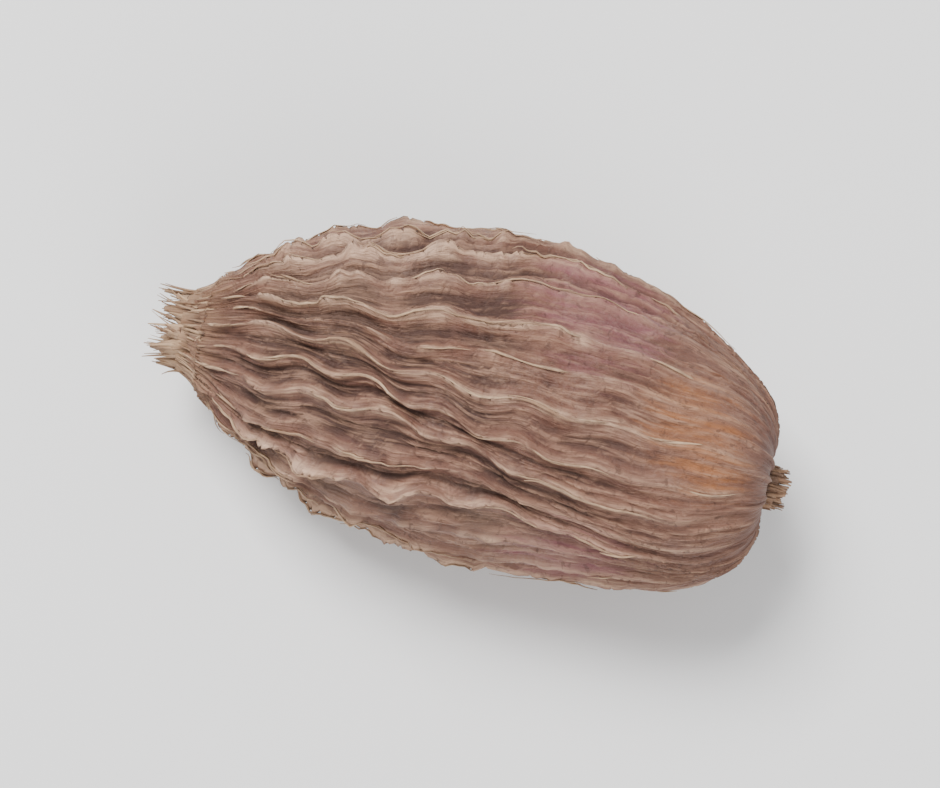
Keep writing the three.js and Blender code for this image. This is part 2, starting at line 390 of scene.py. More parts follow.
def finish_piece(piece, name, node, material):
    """Names a piece, turns its faces outwards, and hides the frame's node that it stands for."""
    deselect()
    piece.select_set(True)
    bpy.context.view_layer.objects.active = piece
    bpy.ops.object.mode_set(mode="EDIT")
    bpy.ops.mesh.select_all(action="SELECT")
    bpy.ops.mesh.normals_make_consistent(inside=False)
    bpy.ops.object.mode_set(mode="OBJECT")
    bpy.ops.object.shade_smooth()
    piece.name = name
    piece.data.name = name
    piece.data.materials.clear()
    piece.data.materials.append(material)
    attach(piece, "root")
    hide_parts(node)
    print(name, len(piece.data.polygons), "faces")
    return piece


# %% [markdown]
# ## Node groups for the finishes
#
# Husk, calyx and stalk are all dry plant tissue, so they share three effects: fibres that run along the
# piece, larger blotches, and a dusty bloom. Each is a node group that is built once. A group puts out only
# masks and heights. The shader itself stays in each material. Patterns follow an attribute called flow,
# which is a point's place on the unrolled piece in millimetres, so that streaks run along the pod and meet
# where the unrolled skin closes.

# %% Helpers for nodes
def node(tree, kind, inputs=None, **settings):
    made = tree.nodes.new(kind)
    for key, value in settings.items():
        setattr(made, key, value)
    for socket, value in (inputs or {}).items():
        if isinstance(value, bpy.types.NodeSocket):
            tree.links.new(value, made.inputs[socket])
        else:
            made.inputs[socket].default_value = value
    return made


def math_node(tree, operation, first, second=0.0, third=0.0):
    return node(tree, "ShaderNodeMath", {0: first, 1: second, 2: third}, operation=operation).outputs[0]


def times(tree, first, second):
    return math_node(tree, "MULTIPLY", first, second)


def plus(tree, first, second):
    return math_node(tree, "ADD", first, second)


def limited(tree, value):
    return node(tree, "ShaderNodeClamp", {"Value": value}).outputs[0]


def ramp(tree, value, low, high):
    """0 below low, 1 above high, and smooth between."""
    inputs = {"Value": value, "From Min": low, "From Max": high}
    return node(tree, "ShaderNodeMapRange", inputs, interpolation_type="SMOOTHSTEP").outputs["Result"]


def mix(tree, factor, first, second):
    return node(tree, "ShaderNodeMix", {0: factor, 6: first, 7: second}, data_type="RGBA").outputs[2]


# %% Helpers for materials and groups
def colour(red, green, blue):
    """A colour given as it looks on a screen, from 0 to 255, as the linear values that shaders use."""
    def linear(value):
        value /= 255
        return value / 12.92 if value <= 0.04045 else ((value + 0.055) / 1.055) ** 2.4

    return (linear(red), linear(green), linear(blue), 1.0)


def attribute(tree, name, output="Fac"):
    return node(tree, "ShaderNodeAttribute", attribute_name=name).outputs[output]


def new_material(name, gloss):
    """A material, its nodes and its shader. Gloss is the shader's specular level."""
    material = bpy.data.materials.new(name)
    material.use_nodes = True
    shader = material.node_tree.nodes["Principled BSDF"]
    shader.inputs["Specular IOR Level"].default_value = gloss
    return material, material.node_tree, shader.inputs


def link_bump(tree, surface, height, strength, distance):
    bump = node(tree, "ShaderNodeBump", {"Height": height, "Strength": strength, "Distance": distance})
    tree.links.new(bump.outputs[0], surface["Normal"])


def new_group(name, inputs, outputs):
    tree = bpy.data.node_groups.new(name, "ShaderNodeTree")
    tree.interface.new_socket("Place", in_out="INPUT", socket_type="NodeSocketVector")
    for label, default in inputs.items():
        socket = tree.interface.new_socket(label, in_out="INPUT", socket_type="NodeSocketFloat")
        socket.default_value = default
    for label in outputs:
        tree.interface.new_socket(label, in_out="OUTPUT", socket_type="NodeSocketFloat")
    return tree, tree.nodes.new("NodeGroupInput").outputs, tree.nodes.new("NodeGroupOutput").inputs


def use_group(tree, group, place, **inputs):
    return node(tree, "ShaderNodeGroup", {"Place": place, **inputs}, node_tree=group).outputs


print("a grey of 128 on the screen is", round(colour(128, 128, 128)[0], 3), "to a shader")

# %% Fibre streaks, blotches and dust
def fibre_streaks():
    """Fine streaks that run along the piece. Stretch is how many times longer than wide they are."""
    tree, given, put = new_group("Fibre streaks", {"Fineness": 3.0, "Stretch": 10.0}, ["Streaks", "Height"])
    across = given["Fineness"]
    along = math_node(tree, "DIVIDE", across, given["Stretch"])
    scale = node(tree, "ShaderNodeCombineXYZ", {0: across, 1: across, 2: along}).outputs[0]
    place = node(tree, "ShaderNodeVectorMath", {0: given["Place"], 1: scale}, operation="MULTIPLY").outputs[0]
    inputs = {"Vector": place, "Scale": 1.0, "Detail": 5.0, "Roughness": 0.62}
    field = node(tree, "ShaderNodeTexNoise", inputs)
    tree.links.new(ramp(tree, field.outputs[0], 0.36, 0.66), put["Streaks"])
    tree.links.new(field.outputs[0], put["Height"])
    return tree


def blotches():
    """Soft patches of two tints. Size is in millimetres."""
    tree, given, put = new_group("Blotches", {"Size": 3.0, "Sharpness": 0.5}, ["Mask"])
    scale = math_node(tree, "DIVIDE", 1.0, given["Size"])
    inputs = {"Vector": given["Place"], "Scale": scale, "Detail": 4.0, "Roughness": 0.58, "Distortion": 0.6}
    field = node(tree, "ShaderNodeTexNoise", inputs).outputs[0]
    reach = times(tree, math_node(tree, "SUBTRACT", 1.0, given["Sharpness"]), 0.25)
    low = math_node(tree, "SUBTRACT", 0.5, reach)
    high = plus(tree, 0.5, reach)
    tree.links.new(ramp(tree, field, low, high), put["Mask"])
    return tree


def dusty_bloom():
    """Pale dust that lies in specks and drifts. Amount is from 0 to 1."""
    tree, given, put = new_group("Dusty bloom", {"Amount": 0.5, "Fineness": 6.0}, ["Mask"])
    inputs = {"Vector": given["Place"], "Scale": 0.45, "Detail": 3.0}
    drifts = node(tree, "ShaderNodeTexNoise", inputs).outputs[0]
    inputs = {"Vector": given["Place"], "Scale": given["Fineness"], "Detail": 4.0, "Roughness": 0.7}
    specks = node(tree, "ShaderNodeTexNoise", inputs).outputs[0]
    both = times(tree, ramp(tree, drifts, 0.38, 0.66), ramp(tree, specks, 0.42, 0.62))
    tree.links.new(times(tree, both, given["Amount"]), put["Mask"])
    return tree


STREAKS, BLOTCHES, DUST = fibre_streaks(), blotches(), dusty_bloom()
print("groups:", [group.name for group in (STREAKS, BLOTCHES, DUST)])

# %% [markdown]
# ## The husk's finish
#
# The dried skin is a dull reddish brown, with painted shade darkening the furrows, and straw-coloured crests
# where the fibres are worn bare, which are also painted lighter as a highlight. Its broad end has an
# orange-tan patch on top, two mauve patches lie beside it, and three long patches of the crests are painted
# paler still as painted highlights. It could be painted by hand, but here each tone is laid over the one
# before it through a mask. Crests and furrows come from masks that the shape stores in the mesh, so the
# colour always fits the relief.

# %% Patches of the husk
MAUVE_SPOTS = ((4.6, 3.4, 10.5), (5.4, -5.2, 7.0))  # in the frame's millimetres
MAUVE_REACH = 3.8
ORANGE_SPOT = (9.0, -0.9, 10.2)
ORANGE_REACH = 3.3
# Painted highlights: three long patches of the pod where the crests are painted paler.
PAINTED_HIGHLIGHT_SPOTS = (  # place and reach
    ((-7.2, 2.4, 9.6), 3.4), ((3.6, -4.9, 7.8), 3.4), ((-5.6, -4.9, 6.6), 2.5),
)
SQUEEZE = 0.42  # the highlight patches are long: they are round where the pod is this much shorter


def spot(tree, place, centre, reach, fibres):
    """A soft round patch about a place, in millimetres, broken up by the fibre streaks."""
    centre = tuple(value * MM for value in centre)
    away = node(tree, "ShaderNodeVectorMath", {0: place, 1: centre}, operation="DISTANCE").outputs["Value"]
    uneven = times(tree, math_node(tree, "SUBTRACT", fibres["Height"], 0.5), reach * MM * 1.6)
    outside = ramp(tree, plus(tree, away, uneven), reach * MM * 0.35, reach * MM)
    broken = math_node(tree, "SUBTRACT", 1.0, times(tree, fibres["Streaks"], 0.45))
    return times(tree, math_node(tree, "SUBTRACT", 1.0, outside), broken)


def long_spot(tree, place, centre, reach, fibres):
    """The same, stretched along the pod."""
    squeezed = node(tree, "ShaderNodeVectorMath", {0: place, 1: (SQUEEZE, 1, 1)}, operation="MULTIPLY")
    x, y, z = centre
    return spot(tree, squeezed.outputs[0], (x * SQUEEZE, y, z), reach, fibres)


print("patches:", len(MAUVE_SPOTS), "mauve, 1 orange and", len(PAINTED_HIGHLIGHT_SPOTS), "pale_and_lit")

# %% Layers of the husk's colour
def husk_layers(tree, fibres, fine, mottle):
    """Masks, amounts and tones in the order in which they are laid over the skin."""
    flow = attribute(tree, "flow", "Vector")
    place = node(tree, "ShaderNodeTexCoord").outputs["Object"]
    crest, vein, furrow = (attribute(tree, name) for name in ("crest", "vein", "furrow"))
    mauve = math_node(
        tree, "MAXIMUM", *(spot(tree, place, centre, MAUVE_REACH, fibres) for centre in MAUVE_SPOTS)
    )
    orange = spot(tree, place, ORANGE_SPOT, ORANGE_REACH, fibres)
    # Mask for the pale crests: partly real worn fibres, partly painted highlight.
    worn_and_lit_crest = limited(tree, times(tree, crest, plus(tree, 0.25, fine["Streaks"])))
    # The crests that the painted highlight patches brighten.
    lit_crests = times(tree, crest, plus(tree, 0.4, fine["Streaks"]))
    lit_crests = plus(tree, lit_crests, times(tree, fibres["Streaks"], 0.35))
    pale_and_lit = [long_spot(tree, place, centre, reach, fibres) for centre, reach in PAINTED_HIGHLIGHT_SPOTS]
    pale_and_lit = [limited(tree, times(tree, mask, lit_crests)) for mask in pale_and_lit]
    dust = use_group(tree, DUST, flow, Amount=0.5)["Mask"]
    specks = ramp(tree, use_group(tree, BLOTCHES, flow, Size=0.3, Sharpness=0.4)["Mask"], 0.75, 1.0)
    neck = limited(tree, times(tree, attribute(tree, "neck"), plus(tree, 0.35, fine["Streaks"])))
    return [
        (mottle, 0.5, colour(126, 85, 69)),
        (mauve, 0.75, colour(130, 72, 79)),
        (orange, 0.75, colour(170, 108, 64)),
        (fibres["Streaks"], 0.4, colour(142, 102, 84)),
        # Painted shade: the furrows between the ribs are darkened.
        (furrow, 0.75, colour(54, 35, 30)),
        (times(tree, vein, fine["Streaks"]), 0.75, colour(178, 139, 114)),
        # Partly real worn fibres and partly painted highlight: the crests are painted pale straw.
        (worn_and_lit_crest, 0.85, colour(200, 163, 135)),
        (mauve, 0.28, colour(142, 90, 94)),
        # Painted highlights in three long patches on the crests.
        *((mask, 0.85, colour(204, 167, 141)) for mask in pale_and_lit),
        (dust, 0.22, colour(174, 151, 140)),
        (times(tree, specks, mottle), 0.55, colour(62, 38, 32)),
        (neck, 0.8, colour(158, 122, 96)),
        (attribute(tree, "seat"), 0.6, colour(86, 58, 46)),
    ]


# %% Husk material
SKIN = colour(108, 71, 55)
DEEP_SKIN = colour(84, 50, 43)
HUSK_GLOSS = 0.4
HUSK_ROUGHNESS = 0.48
HUSK_BUMP = 0.16 * MM


def husk_material():
    material, tree, surface = new_material("Dried husk", HUSK_GLOSS)
    flow = attribute(tree, "flow", "Vector")
    coarse = use_group(tree, STREAKS, flow, Fineness=2.6, Stretch=9.0)
    fine = use_group(tree, STREAKS, flow, Fineness=8.5, Stretch=12.0)
    patches = use_group(tree, BLOTCHES, flow, Size=4.2, Sharpness=0.2)["Mask"]
    mottle = use_group(tree, BLOTCHES, flow, Size=0.7, Sharpness=0.1)["Mask"]

    tone = mix(tree, patches, SKIN, DEEP_SKIN)
    for mask, amount, shade in husk_layers(tree, coarse, fine, mottle):
        tone = mix(tree, times(tree, mask, amount), tone, shade)
    tree.links.new(tone, surface["Base Color"])

    rough = plus(tree, HUSK_ROUGHNESS, times(tree, fine["Streaks"], 0.16))
    rough = plus(tree, rough, times(tree, attribute(tree, "furrow"), 0.14))
    tree.links.new(rough, surface["Roughness"])
    height = plus(tree, coarse["Height"], times(tree, fine["Height"], 1.3))
    link_bump(tree, surface, plus(tree, height, times(tree, mottle, 0.1)), 0.85, HUSK_BUMP)
    return material


dried_husk = husk_material()
print(dried_husk.name, "has", len(dried_husk.node_tree.nodes), "nodes")

# %% [markdown]
# ## Dry fibre
#
# Calyx, stalk and loose threads are straw: each strand has its own tint, is stained in places and is darker
# where it leaves the piece, which is painted shade. One material with a flat tint would make a broom of
# plastic, so the tint of each strand is stored in the mesh and mixed with streaks. The three materials are
# one recipe with three sets of tones.

# %% Straw materials
STRAW_GLOSS = 0.35
STRAW_ROUGHNESS = 0.6
STRAW_BUMP = 0.12 * MM
STRAW_DUST = colour(190, 174, 160)


def straw_material(name, fineness, dark, middle, pale):
    material, tree, surface = new_material(name, STRAW_GLOSS)
    flow = attribute(tree, "flow", "Vector")
    streaks = use_group(tree, STREAKS, flow, Fineness=fineness, Stretch=12.0)
    stains = use_group(tree, BLOTCHES, flow, Size=1.1, Sharpness=0.2)["Mask"]
    dust = use_group(tree, DUST, flow, Amount=0.4)["Mask"]
    tone = mix(tree, attribute(tree, "tint"), middle, pale)
    tone = mix(tree, times(tree, streaks["Streaks"], 0.55), tone, pale)
    tone = mix(tree, times(tree, stains, 0.6), tone, dark)
    # Painted shade: the root mask darkens each strand where it leaves the piece, and the turned forms in
    # their hollow ends and where they meet the husk.
    tone = mix(tree, attribute(tree, "root"), tone, dark)
    tone = mix(tree, times(tree, dust, 0.4), tone, STRAW_DUST)
    tree.links.new(tone, surface["Base Color"])
    tree.links.new(plus(tree, STRAW_ROUGHNESS, times(tree, streaks["Streaks"], 0.2)), surface["Roughness"])
    link_bump(tree, surface, streaks["Height"], 0.9, STRAW_BUMP)
    return material


calyx_straw = straw_material(
    "Calyx straw", 9.0, colour(84, 56, 44), colour(146, 110, 84), colour(198, 164, 130)
)
stalk_straw = straw_material(
    "Stalk straw", 8.0, colour(70, 46, 38), colour(132, 96, 74), colour(180, 142, 110)
)
loose_straw = straw_material(
    "Loose fibre", 7.0, colour(104, 72, 55), colour(160, 124, 96), colour(202, 170, 138)
)
print("straws:", [straw.name for straw in (calyx_straw, stalk_straw, loose_straw)])

# %% [markdown]
# ## The husk
#
# The husk starts as a sphere with one column of faces for each step from rib to rib. Every point of the
# sphere is then moved to its place on the skin. The sphere has its poles closed and no seam, so the husk
# has none either. A column always lies on each crest, which keeps the ribs sharp. At the narrow end the
# skin runs out in a torn edge on the calyx, because a clean ring there would look like two parts put
# together. Where the pod rests, it is pressed flat.

# %% The torn edge of the skin
COLLAR_EDGE = 0.6  # where the edge is, on the way from the neck to the axis
COLLAR_LIFT = 0.05
NECK_LENGTH = 0.8
TUBE = CALYX_PROFILE[:6]  # the outside of the calyx


def neck_squash(distance):
    """The husk is less high than wide, and the calyx becomes round beyond it."""
    start = HALF_HEIGHT / HALF_WIDTH
    return start + (1 - start) * smooth(LENGTH, LENGTH + NECK_LENGTH, distance)


def tube_radius(distance):
    return np.interp(distance, TUBE[:, 1], TUBE[:, 0])


def collar(k, share, reach):
    """Points of the torn edge: reach is 0 at the neck, COLLAR_EDGE at the edge and 1 at the axis."""
    turn = rib["place"][k] + share * rib_gap[k]
    tongue = np.maximum(0.06, 0.3 + 0.7 * grain(turn, 0.0, RIBS * 3, 1, 14))
    out = np.clip(reach / COLLAR_EDGE, 0, 1)
    back = np.clip((reach - COLLAR_EDGE) / (1 - COLLAR_EDGE), 0, 1)
    distance = LENGTH + tongue * out * (1 - back)
    height = relief(k, share, np.ones_like(share))[0]
    radius = (tube_radius(distance) + COLLAR_LIFT + 0.6 * height * (1 - 0.7 * out)) * (1 - back)
    angle = angle_at(k, share, 1.0)
    return lay(distance, radius * np.cos(angle), radius * np.sin(angle) * neck_squash(distance))


print("the calyx is", 2 * TUBE[:, 0].min(), "to", 2 * TUBE[:, 0].max(), "mm across")

# %% Make the husk
HUSK_COLUMNS = 15  # from one rib to the next
HUSK_RINGS = 246
END_SHARE = 0.03  # share of the rings that close each end


def make_husk():
    deselect()
    columns = RIBS * HUSK_COLUMNS
    bpy.ops.mesh.primitive_uv_sphere_add(segments=columns, ring_count=HUSK_RINGS, radius=1)
    piece = bpy.context.object
    ball = points_of(piece)
    column = np.round(np.arctan2(ball[:, 1], ball[:, 0]) / FULL_TURN * columns).astype(int) % columns
    k, share = column // HUSK_COLUMNS, column % HUSK_COLUMNS / HUSK_COLUMNS
    ring = np.arccos(np.clip(ball[:, 2], -1, 1)) / math.pi
    spread = np.clip(np.minimum(ring, 1 - ring) / END_SHARE, 0, 1)
    t = np.clip((ring - END_SHARE) / (1 - 2 * END_SHARE), 0, 1)
    told = {}
    points = skin(t, k, share, spread, told=told)
    closing = (ring > 0.5) & (spread < 1)
    points[closing] = collar(k[closing], share[closing], 1 - spread[closing])
    points[:, 2] = np.maximum(points[:, 2], 0)
    set_points(piece, points)
    start = (rib["place"][k] + share * rib_gap[k]) / RIBS * FULL_TURN
    flow = [HALF_WIDTH * np.cos(start), HALF_WIDTH * np.sin(start), told["along"] * LENGTH + (1 - spread)]
    keep(piece, "flow", np.stack(flow, axis=-1))
    for name in ("crest", "vein", "furrow"):
        keep(piece, name, told[name] * spread)
    keep(piece, "neck", smooth(0.94, 1, told["along"]))
    keep(piece, "seat", 1 - smooth(0.02, 0.1, t))
    finish_piece(piece, "husk_skin", "husk", dried_husk)


make_husk()

# %% [markdown]
# ## Strands
#
# The calyx's lobes, the broken fibres of the stalk and the threads that peel off the ribs are all strands:
# a six-sided stick with rings along it. One stick is modelled by extruding a circle. Each strand is a copy
# of it with its own mesh, whose rings are moved onto a path and given a width and a thickness there. The
# strands of a piece are then joined.

# %% Helpers for strands
STICK_SIDES = 6
STICK_RINGS = 12
STRAND_CLEARANCE = 0.02 * MM  # no strand reaches into the table


def make_stick():
    """A closed stick with its rings at heights 0, 1, 2 and so on."""
    deselect()
    bpy.ops.mesh.primitive_circle_add(vertices=STICK_SIDES, radius=1, fill_type="NGON")
    bpy.ops.object.mode_set(mode="EDIT")
    bpy.ops.mesh.select_all(action="SELECT")
    for _ in range(STICK_RINGS - 1):
        bpy.ops.mesh.extrude_region_move(TRANSFORM_OT_translate={"value": (0, 0, 1)})
    bpy.ops.object.mode_set(mode="OBJECT")
    return bpy.context.object


stick = make_stick()
stick_points = points_of(stick)
stick_ring = np.round(stick_points[:, 2]).astype(int)
print("stick:", len(stick_points), "points,", stick_ring.max() + 1, "rings")


def strand(path, outward, width, thickness, tint):
    """A copy of the stick along a path of as many points as it has rings, in metres."""
    ahead = np.gradient(path, axis=0)
    across = np.cross(ahead, outward)
    across /= np.linalg.norm(across, axis=1, keepdims=True)
    up = np.cross(across, ahead)
    up /= np.linalg.norm(up, axis=1, keepdims=True)
    n = stick_ring
    points = path[n] + across[n] * (stick_points[:, :1] * (width[n] / 2)[:, None])
    points += up[n] * (stick_points[:, 1:2] * (thickness[n] / 2)[:, None])
    points[:, 2] = np.maximum(points[:, 2], STRAND_CLEARANCE)
    piece = stick.copy()
    piece.data = stick.data.copy()
    bpy.context.collection.objects.link(piece)
    set_points(piece, points)
    length = np.concatenate([[0], np.cumsum(np.linalg.norm(np.diff(path, axis=0), axis=1))]) / MM
    across_flow = stick_points[:, 0] * width[n] / 2 / MM
    up_flow = stick_points[:, 1] * thickness[n] / 2 / MM
    flow = [across_flow + 7 * tint, up_flow, length[n] + 23 * tint]
    keep(piece, "flow", np.stack(flow, axis=-1))
    keep(piece, "tint", np.full(len(points), tint))
    # Painted shade at the strand's root, where it leaves the piece.
    keep(piece, "root", 0.8 * (1 - smooth(0, 0.35, n / (STICK_RINGS - 1))))
    return piece


def joined(pieces):
    deselect()
    for piece in pieces:
        piece.select_set(True)
    bpy.context.view_layer.objects.active = pieces[0]
    bpy.ops.object.join()
    print("joined", len(pieces), "pieces")
    return bpy.context.object


# %% Paths and widths of strands
RING_SHARE = np.linspace(0, 1, STICK_RINGS)


def around(distance, radius, angle):
    """A place in the straight pod at a radius and angle round its axis."""
    return np.array([distance, radius * math.cos(angle), radius * math.sin(angle)])


def arc(start, by, end):
    """A path from start to end, drawn towards by, and its directions away from the pod's axis."""
    s = RING_SHARE[:, None]
    line = (1 - s) ** 2 * start + 2 * s * (1 - s) * by + s**2 * end
    middle = math.atan2(start[2] + end[2], start[1] + end[1])
    outward = lay(line[:, 0], line[:, 1] + math.cos(middle), line[:, 2] + math.sin(middle))
    path = lay(*line.T)
    return path, outward - path


def tapered(size, tip, power=1.3):
    return size * MM * (1 - (1 - tip) * RING_SHARE**power)


def spindle(size, tip):
    """A width that is narrow at both ends of a strand."""
    return size * MM * (tip + (1 - tip) * np.sin(math.pi * RING_SHARE**0.8))


print("a strand of 1 mm with a tip of 0.2 narrows as", (tapered(1, 0.2) / MM).round(2).tolist())

# %% [markdown]
# ## The calyx
#
# The calyx is what is left of the flower: a short waisted tube with a hollow end and torn lobes. Its tube
# could be spun, but here a circle is extruded once for each ring of its profile, and the points are then
# put on the profile with shallow flutes round it. Eleven lobes stand on its rim as on its solid, each with
# splinters at its end. Hairs fill it, and fibres that lie across the seam tie it to the husk.

# %% A turned form
TURNED_COLUMNS = 132


def turned(profile, flutes, depth, squash=lambda distance: 1.0):
    """A closed form round the pod's own axis, from points of radius and distance, fluted by a few grooves."""
    deselect()
    bpy.ops.mesh.primitive_circle_add(vertices=TURNED_COLUMNS, radius=1, fill_type="NGON")
    bpy.ops.object.mode_set(mode="EDIT")
    bpy.ops.mesh.select_all(action="SELECT")
    for _ in range(len(profile) - 1):
        bpy.ops.mesh.extrude_region_move(TRANSFORM_OT_translate={"value": (0, 0, 1)})
    bpy.ops.object.mode_set(mode="OBJECT")
    piece = bpy.context.object
    at = points_of(piece)
    angle = np.arctan2(at[:, 1], at[:, 0])
    radius, distance = np.array(profile)[np.round(at[:, 2]).astype(int)].T
    flat = squash(distance)
    from_husk = np.abs(distance - profile[0][1])
    ribbed = 1 - depth * smooth(0.1, 0.9, from_husk) * (0.5 + 0.5 * np.cos(flutes * angle))
    ribbed += 0.03 * np.sin(angle * flutes * 3 + distance * 2)
    ribbed += 0.02 * np.sin(angle * 41 + np.sin(distance * 3))
    set_points(piece, lay(distance, radius * ribbed * np.cos(angle), radius * ribbed * np.sin(angle) * flat))
    keep(piece, "flow", np.stack([1.5 * np.cos(angle), 1.5 * np.sin(angle), distance + radius], axis=-1))
    keep(piece, "tint", 0.3 + 0.2 * np.sin(angle * flutes))
    # Painted shade: darker in the hollow end near the axis and where the form meets the husk.
    keep(piece, "root", np.maximum(0.7 * smooth(1.0, 0.3, radius), 0.75 * smooth(1.1, 0.2, from_husk)))
    return piece


print("a turned form has", TURNED_COLUMNS, "columns")


# %% Fibres across the seam
CALYX_VEINS = 130
CALYX_VEIN_SIZES = (0.05, 0.13)


def calyx_veins(draw):
    """Fibres that lie on the neck of the husk and run on over the tube, across the seam between the two."""
    made = []
    half = STICK_RINGS // 2
    for _ in range(CALYX_VEINS):
        k, share = int(draw() * RIBS) % RIBS, draw()
        on_husk = np.array(skin_place(np.linspace(0.945 + 0.045 * draw(), 1, half), k, share, lift=0.03))
        distance = LENGTH + np.linspace(0.12, 0.4 + 0.6 * draw(), half)
        radius = tube_radius(distance) + COLLAR_LIFT
        angle = math.atan2(on_husk[2, -1], on_husk[1, -1]) + 0.12 * (draw() - 0.5) * (distance - LENGTH)
        on_tube = np.array([distance, radius * np.cos(angle), radius * np.sin(angle) * neck_squash(distance)])
        line = np.concatenate([on_husk, on_tube], axis=1)
        path = lay(*line)
        outward = path - lay(line[0], 0 * line[1], 0 * line[2])
        size = between(CALYX_VEIN_SIZES, draw)
        made.append(strand(path, outward, spindle(size * 1.6, 0.3), spindle(size, 0.3), draw()))
    return made


# %% Torn lobes
CALYX_LOBES = 11
CALYX_SPLINTERS = 3  # at the end of each lobe
LOBE_LENGTHS = (0.5, 1.5)
LOBE_WIDTHS = (0.95, 1.25)
LOBE_THICKNESS = 0.34
SPLINTER_WIDTH = 0.34
SPLINTER_THICKNESS = 0.17


def calyx_lobe(k, draw):
    """A torn lobe on the rim, with its splinters."""
    angle = (k + 0.5 * draw()) / CALYX_LOBES * FULL_TURN
    length = between(LOBE_LENGTHS, draw)
    flare = 0.35 * draw()
    turn = angle + 0.3 * (draw() - 0.5)
    start = around(RIM - 0.9, CALYX_WAIST, angle)
    by = around(RIM - 0.1, CALYX_WAIST * 0.86, angle)
    path, outward = arc(start, by, around(RIM + length * 0.9, CALYX_WAIST * 0.84 + flare, turn))
    width = tapered(between(LOBE_WIDTHS, draw), 0.12, 1.8)
    made = [strand(path, outward, width, tapered(LOBE_THICKNESS, 0.2), 0.2 + 0.4 * draw())]
    for _ in range(CALYX_SPLINTERS):
        aside = angle + 0.34 * (draw() - 0.5)
        reach = length * (0.55 + 0.6 * draw())
        start = around(RIM - 0.8 * draw(), CALYX_WAIST * 0.97, aside)
        by = around(RIM, CALYX_WAIST * 0.9, aside)
        tip_radius = CALYX_WAIST * 0.84 + flare + 0.2 * (draw() - 0.3)
        path, outward = arc(start, by, around(RIM + reach, tip_radius, turn + 0.3 * (draw() - 0.5)))
        width, thickness = tapered(SPLINTER_WIDTH, 0.12), tapered(SPLINTER_THICKNESS, 0.2)
        made.append(strand(path, outward, width, thickness, draw()))
    return made


# %% Make the calyx
CALYX_HAIRS = 120


def calyx_pieces():
    draw = drawer(SEED + 1)
    made = [turned(CALYX_PROFILE, CALYX_LOBES, 0.1, neck_squash)]
    for k in range(CALYX_LOBES):
        made += calyx_lobe(k, draw)
    for k in range(CALYX_HAIRS):
        angle = (k + 0.8 * draw()) / CALYX_HAIRS * FULL_TURN
        length = 0.3 + 1.2 * draw() ** 1.4
        base = CALYX_WAIST * (0.35 + 0.75 * draw())
        end = around(RIM + length, base * 0.85 + 0.5 * draw(), angle + 0.9 * (draw() - 0.5))
        path, outward = arc(around(RIM - 0.7, base, angle), around(RIM + 0.1, base * 0.9, angle), end)
        size = 0.07 + 0.15 * draw() ** 1.5
        made.append(strand(path, outward, tapered(size * 1.5, 0.15), tapered(size, 0.2), draw()))
    return made + calyx_veins(draw)


finish_piece(joined(calyx_pieces()), "calyx_tuft", "calyx", calyx_straw)

# %% [markdown]
# ## The stalk
#
# The stalk broke off short. Its stub is a fluted turned form with a dished end, out of which the torn
# fibres stand. Flatter fibres run along its outside from the seat in the husk, so that it doesn't look like
# a peg.

# %% Make the stalk
STALK_RADIUS = 0.95
STALK_LENGTH = 1.5
STALK_FLUTES = 7
STALK_HAIRS = 110
STALK_HAIR_SIZES = (0.07, 0.2)
STALK_VEINS = 36
STALK_ROOT = OUTLINE[0][0] - CALYX_GAP
STALK_END = STALK_ROOT - STALK_LENGTH
STALK_PROFILE = [  # radius as a share, and distance along the pod
    (1, STALK_ROOT), (0.97, STALK_ROOT - 0.35), (0.94, STALK_ROOT - 0.75), (0.96, STALK_ROOT - 1.0),
    (0.96, STALK_END + 0.3), (0.92, STALK_END + 0.2), (0.8, STALK_END + 0.22), (0.5, STALK_END + 0.3),
    (0.1, STALK_END + 0.34),
]


def stalk_pieces():
    draw = drawer(SEED + 2)
    profile = [(STALK_RADIUS * share, distance) for share, distance in STALK_PROFILE]
    made = [turned(profile, STALK_FLUTES, 0.13)]
    for _ in range(STALK_HAIRS):
        angle = FULL_TURN * draw()
        radius = STALK_RADIUS * 0.93 * draw() ** 0.5
        reach = STALK_END + 0.15 - 0.54 * draw() ** 1.3
        tip = around(reach, radius * (0.85 + 0.3 * draw()), angle + 0.5 * (draw() - 0.5))
        start, by = (around(STALK_END + inside, radius, angle) for inside in (0.6, 0.3))
        path, outward = arc(start, by, tip)
        size = between(STALK_HAIR_SIZES, draw)
        made.append(strand(path, outward, tapered(size * 1.4, 0.4), tapered(size, 0.4), draw()))
    for _ in range(STALK_VEINS):
        angle = FULL_TURN * draw()
        radius = STALK_RADIUS * (0.95 + 0.08 * draw())
        start = around(STALK_ROOT + 0.15, STALK_RADIUS * 1.1, angle)
        tip = around(STALK_END + 0.6 * draw(), radius, angle + 0.3 * (draw() - 0.5))
        path, outward = arc(start, around(STALK_ROOT - 0.4, radius * 0.97, angle), tip)
        made.append(strand(path, outward, tapered(0.2, 0.3), tapered(0.14, 0.3), draw()))
    return made


finish_piece(joined(stalk_pieces()), "stalk_stub", "stalk", stalk_straw)

# %% [markdown]
# ## Threads that peel off the ribs
#
# Where the skin is worn, single straw-coloured threads lift off the crests, most of them near the calyx.
# Each follows its own rib for a few millimetres. Its root is sunk in the crest and its tip stands a little
# clear of it. Hair particles would do this too, but they don't survive an export, so the threads are
# strands as well.

# %% Make the threads
THREADS = 260
THREAD_LENGTHS = (0.03, 0.1)  # share of the pod's outline
THREAD_SIZES = (0.04, 0.1)
TOWARDS_CALYX = 0.7  # the share of them that runs that way
ROOT_DEPTH = 0.12


